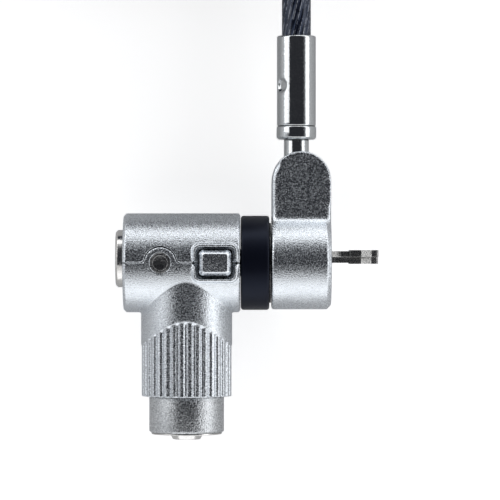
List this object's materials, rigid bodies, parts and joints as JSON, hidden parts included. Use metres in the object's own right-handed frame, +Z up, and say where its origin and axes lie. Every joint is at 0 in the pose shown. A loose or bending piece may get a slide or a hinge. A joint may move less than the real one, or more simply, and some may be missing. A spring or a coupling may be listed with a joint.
{
  "type": "laptop cable lock",
  "caption": "Cable lock head with swivelling keeper, spreading slot hooks, push and side buttons, keyed barrel, crimped ferrule and coiled steel cable with an end loop.",
  "frame": {"origin": "on the surface that the lock lies on, under the middle of the lock without its cable", "axes": "+X the way the hooks point, along the body; +Y the way the cable leaves the ferrule; +Z up, through the square button"},
  "size_m": [0.0849, 0.1591, 0.024],
  "materials": {
    "cast_nickel": "bead-blasted pearl nickel over a die casting",
    "satin_nickel": "satin nickel",
    "polished_nickel": "polished nickel",
    "chrome": "mirror chrome",
    "black_ring": "satin black",
    "hook_steel": "sintered steel, unpolished",
    "inner_steel": "machined, oiled",
    "spring_steel": "drawn wire",
    "disc_brass": "stamped",
    "cable_jacket": "smoked translucent jacket over twisted wire",
    "crimp_metal": "pressed",
    "tie_fabric": "woven hook-and-loop strap"
  },
  "bodies": {
    "cable": {"cable_stud": "chrome", "ferrule_collar": "chrome", "ferrule_sleeve": "chrome", "cable_run": "cable_jacket", "cable_coil": "cable_jacket", "coil_tie": "tie_fabric", "cable_loop": "cable_jacket", "loop_sleeve": "crimp_metal"},
    "keeper": {"keeper_block": "cast_nickel", "stud_plug": "inner_steel", "hook_carrier": "satin_nickel", "hook_pivot_pin": "inner_steel"},
    "head": {"upper_housing": "cast_nickel", "lower_housing": "cast_nickel", "cross_pin": "inner_steel", "spindle": "inner_steel", "spindle_ring": "inner_steel", "black_ring": "black_ring", "thrust_washer": "inner_steel", "lock_cylinder": "satin_nickel", "face_plate": "polished_nickel", "cylinder_pin": "inner_steel", "rear_button_spring": "spring_steel", "square_button_spring": "spring_steel"},
    "rear_button": {"rear_button": "polished_nickel", "plunger": "inner_steel", "drive_rod": "inner_steel"},
    "square_button": {"square_button": "satin_nickel", "release_yoke": "inner_steel"},
    "key_plug": {"key_plug": "polished_nickel", "tumbler_discs": "disc_brass", "lock_cam": "inner_steel", "cam_clip": "inner_steel"},
    "sidebar": {"sidebar": "inner_steel"},
    "wedge": {"spreader_wedge": "inner_steel"},
    "hook_upper": {"hook_upper": "hook_steel"},
    "hook_lower": {"hook_lower": "hook_steel"}
  },
  "joints": [
    {"name": "cable_swivel", "type": "hinge", "parent": "cable", "child": "keeper", "pos_m": [0.00935, -0.0048, 0.0094], "axis": [0, 1, 0], "continuous": true},
    {"name": "head_swivel", "type": "hinge", "parent": "keeper", "child": "head", "pos_m": [0.0066, -0.0048, 0.0094], "axis": [-1, 0, 0], "continuous": true},
    {"name": "rear_button_press", "type": "slide", "parent": "head", "child": "rear_button", "axis": [1, 0, 0], "range_m": [0, 0.0012], "stiffness_N_per_m": 800, "springref_m": -0.002, "deforming": ["rear_button_spring"]},
    {"name": "square_button_press", "type": "slide", "parent": "head", "child": "square_button", "axis": [0, 0, -1], "range_m": [0, 0.0012], "stiffness_N_per_m": 600, "springref_m": -0.0015, "deforming": ["square_button_spring"]},
    {"name": "key_turn", "type": "hinge", "parent": "head", "child": "key_plug", "pos_m": [-0.0115, -0.0348, 0.0094], "axis": [0, 1, 0], "range_deg": [0, 90]},
    {"name": "sidebar_drop", "type": "slide", "parent": "key_plug", "child": "sidebar", "axis": [-1, 0, 0], "range_m": [0, 0.0005]},
    {"name": "wedge_slide", "type": "slide", "parent": "keeper", "child": "wedge", "axis": [1, 0, 0], "range_m": [0, 0.0012]},
    {"name": "hook_upper_spread", "type": "hinge", "parent": "keeper", "child": "hook_upper", "pos_m": [0.0136, -0.0031, 0.0094], "axis": [0, -1, 0], "range_deg": [0, 12]},
    {"name": "hook_lower_spread", "type": "hinge", "parent": "keeper", "child": "hook_lower", "pos_m": [0.0136, -0.0043, 0.0094], "axis": [0, 1, 0], "range_deg": [0, 12]}
  ],
  "couplings": [
    {"joint": "sidebar_drop", "follows": "key_turn", "m_per_rad": 0.000318},
    {"joint": "wedge_slide", "follows": "rear_button_press", "ratio": 1},
    {"joint": "hook_upper_spread", "follows": "rear_button_press", "rad_per_m": 174.5},
    {"joint": "hook_lower_spread", "follows": "rear_button_press", "rad_per_m": 174.5}
  ]
}
